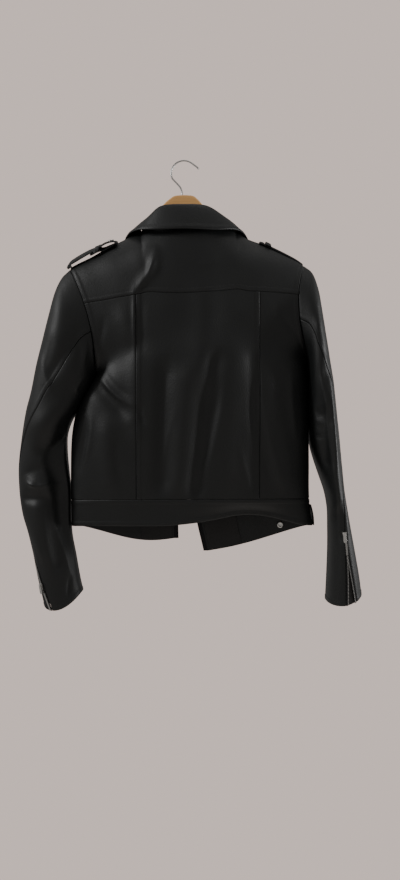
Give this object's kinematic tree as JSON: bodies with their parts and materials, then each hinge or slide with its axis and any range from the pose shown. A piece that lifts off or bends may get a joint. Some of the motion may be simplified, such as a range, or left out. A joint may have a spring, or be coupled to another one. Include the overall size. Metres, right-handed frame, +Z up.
{
  "type": "leather biker jacket on a hanger",
  "caption": "Cropped black leather biker jacket hanging open on a wooden hanger with a wire hook, with epaulets, a hem band and zipped cuffs.",
  "frame": {"origin": "inner top of the hanger's hook, where it hangs on a rail or nail", "axes": "+Z up, +X towards the wearer's right shoulder seen from behind, +Y towards the wearer's front, so the back faces -Y"},
  "size_m": [0.5783, 0.1179, 0.7604],
  "materials": {
    "leather": "satin black, fine grain",
    "zip_tape": "black woven tape with metal teeth",
    "zip_metal": "polished nickel",
    "snap_metal": "satin nickel",
    "wood": "clear satin varnish",
    "hook_wire": "bright zinc wire"
  },
  "bodies": {
    "jacket": {"yoke": "leather", "back_side_l": "leather", "back_centre": "leather", "back_side_r": "leather", "waistband_back": "leather", "front_l": "leather", "waistband_front_l": "leather", "front_r": "leather", "waistband_front_r": "leather", "sleeve_upper_l": "leather", "sleeve_under_l": "leather", "sleeve_upper_r": "leather", "sleeve_under_r": "leather", "collar_stand": "leather", "collar_fall": "leather", "lapel_l": "leather", "facing_l": "leather", "lapel_r": "leather", "facing_r": "leather", "cuff_gusset_r": "leather", "epaulet_l": "leather", "epaulet_keeper_l": "leather", "epaulet_r": "leather", "epaulet_keeper_r": "leather", "side_tab_r": "leather", "front_zip_tape_l": "zip_tape", "front_zip_tape_r": "zip_tape", "cuff_zip_tape_l": "zip_tape", "cuff_zip_tape_r_outer": "zip_tape", "cuff_zip_tape_r_inner": "zip_tape", "cuff_zip_l_slider": "zip_metal", "cuff_zip_r_slider": "zip_metal", "front_zip_slider": "zip_metal", "epaulet_snap_l": "snap_metal", "epaulet_snap_r": "snap_metal", "hem_snap_r": "snap_metal", "hanger_wood": "wood", "hanger_hook": "hook_wire"},
    "cuff_pull_l": {"cuff_zip_l_pull": "zip_metal"},
    "cuff_pull_r": {"cuff_zip_r_pull": "zip_metal"},
    "front_pull": {"front_zip_pull": "zip_metal"}
  },
  "joints": [
    {"name": "cuff_pull_l_swing", "type": "hinge", "parent": "jacket", "child": "cuff_pull_l", "pos_m": [-0.24017, -0.02499, -0.71533], "axis": [0.7238, -0.6746, 0.1453], "range_deg": [-150, 0]},
    {"name": "cuff_pull_r_swing", "type": "hinge", "parent": "jacket", "child": "cuff_pull_r", "pos_m": [0.26283, -0.0503, -0.62615], "axis": [0.9519, -0.2895, 0.1004], "range_deg": [-150, 0]},
    {"name": "front_pull_swing", "type": "hinge", "parent": "jacket", "child": "front_pull", "pos_m": [-0.0136, 0.0489, -0.6298], "axis": [-1, 0, 0], "range_deg": [-150, 0]}
  ]
}
